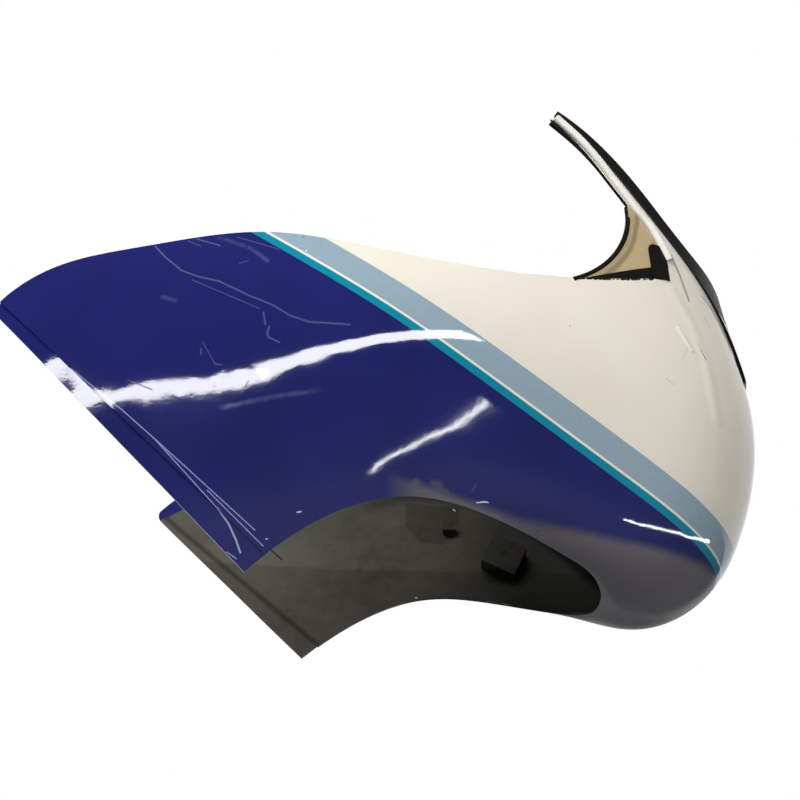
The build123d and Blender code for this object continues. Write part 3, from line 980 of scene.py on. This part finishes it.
def add_lamp(name, start, end, height, radiance, target, mirrored):
    """Flat lamp whose length runs between two points, for soft light or for a shape in the gloss."""
    start, end = Vector(start), Vector(end)
    middle = (start + end) / 2
    along = (end - start).normalized()
    back = middle - Vector(target)
    back = (back - along * back.dot(along)).normalized()
    data = bpy.data.lights.new(name, "AREA")
    data.shape = "RECTANGLE"
    data.size, data.size_y = (end - start).length, height
    data.energy = radiance * math.pi * data.size * data.size_y
    lamp = bpy.data.objects.new(name, data)
    turned = Matrix((along, back.cross(along), back)).transposed().to_4x4()
    lamp.matrix_world = Matrix.Translation(middle) @ turned
    lamp.visible_camera = False
    lamp.visible_glossy = mirrored
    lamp.visible_diffuse = not mirrored
    bpy.context.scene.collection.objects.link(lamp)


def set_world(stage):
    """White behind the object for the camera and the gloss, an even soft light for the rest."""
    world = bpy.data.worlds.new("studio")
    world.use_nodes = True
    tree = world.node_tree
    tree.nodes.clear()

    def node(kind, **settings):
        made = tree.nodes.new(kind)
        for key, value in settings.items():
            setattr(made, key, value)
        return made

    path = node("ShaderNodeLightPath")
    way = node("ShaderNodeSeparateXYZ")
    tree.links.new(node("ShaderNodeTexCoord").outputs["Generated"], way.inputs[0])
    behind = node("ShaderNodeMapRange", clamp=True)
    behind.inputs["From Min"].default_value, behind.inputs["From Max"].default_value = GLOSS_FROM
    behind.inputs["To Min"].default_value, behind.inputs["To Max"].default_value = GLOSS_TO
    tree.links.new(way.outputs["Y"], behind.inputs["Value"])
    out = node("ShaderNodeOutputWorld")
    shaders = []
    for colour, strength in ((ROOM_TONE, stage.room_light), (WHITE, behind.outputs[0]), (WHITE, 1.0)):
        back = node("ShaderNodeBackground")
        back.inputs["Color"].default_value = (*colour, 1)
        if isinstance(strength, float):
            back.inputs["Strength"].default_value = strength
        else:
            tree.links.new(strength, back.inputs["Strength"])
        shaders.append(back.outputs[0])
    gloss = node("ShaderNodeMath", operation="MAXIMUM")
    tree.links.new(path.outputs["Is Glossy Ray"], gloss.inputs[0])
    tree.links.new(path.outputs["Is Transmission Ray"], gloss.inputs[1])
    seen = shaders[0]
    for share, shader in ((gloss.outputs[0], shaders[1]), (path.outputs["Is Camera Ray"], shaders[2])):
        mixed = node("ShaderNodeMixShader")
        tree.links.new(share, mixed.inputs[0])
        tree.links.new(seen, mixed.inputs[1])
        tree.links.new(shader, mixed.inputs[2])
        seen = mixed.outputs[0]
    tree.links.new(seen, out.inputs[0])
    bpy.context.scene.world = world


class FAIRING_OT_stage(bpy.types.Operator):
    """Set the camera, the lamps, the floor and the pale background"""

    bl_idname = "fairing.stage"
    bl_label = "Stage"

    def execute(self, context):
        stage = context.scene.fairing_stage
        context.scene.view_settings.view_transform = "Standard"
        set_camera(stage)
        set_world(stage)
        bpy.ops.mesh.primitive_plane_add(size=FLOOR_SIZE, location=(0, 0, -stage.floor_drop))
        floor = context.object
        floor.name = "floor"
        tree = Tree("pale_floor")
        seen = tree.node("ShaderNodeLightPath").outputs["Is Camera Ray"]
        pale = tree.mix(seen, FLOOR_TONE, FLOOR_SEEN)
        material = tree.surface({"Base Color": pale, "Roughness": 0.8, "Specular IOR Level": 0.1})
        floor.data.materials.append(material)
        for lamp in LAMPS:
            add_lamp(*lamp)
        return {"FINISHED"}


class FAIRING_PT_panel(bpy.types.Panel):
    """Sidebar panel with the fairing's sizes, colours and steps"""

    bl_idname = "FAIRING_PT_panel"
    bl_label = "Upper Fairing"
    bl_space_type = "VIEW_3D"
    bl_region_type = "UI"
    bl_category = "Fairing"

    def draw(self, context):
        for group in (context.scene.fairing_paint, context.scene.fairing_trim, context.scene.fairing_stage):
            for name in group.__annotations__:
                self.layout.prop(group, name)
        for step in STEPS:
            self.layout.operator(step)


STEPS = ("fairing.shell", "fairing.rubber", "fairing.beads", "fairing.ears", "fairing.stage")
CLASSES = (FairingPaint, FairingTrim, FairingStage, FAIRING_OT_shell, FAIRING_OT_rubber, FAIRING_OT_beads,
           FAIRING_OT_ears, FAIRING_OT_stage, FAIRING_PT_panel)


def register():
    for kind in CLASSES:
        bpy.utils.register_class(kind)
    bpy.types.Scene.fairing_paint = PointerProperty(type=FairingPaint)
    bpy.types.Scene.fairing_trim = PointerProperty(type=FairingTrim)
    bpy.types.Scene.fairing_stage = PointerProperty(type=FairingStage)


def unregister():
    del bpy.types.Scene.fairing_stage
    del bpy.types.Scene.fairing_trim
    del bpy.types.Scene.fairing_paint
    for kind in reversed(CLASSES):
        bpy.utils.unregister_class(kind)


def main():
    register()
    bpy.ops.fairing.shell()
    bpy.ops.fairing.rubber()
    bpy.ops.fairing.beads()
    bpy.ops.fairing.ears()
    bpy.ops.fairing.stage()


if __name__ == "__main__":
    main()
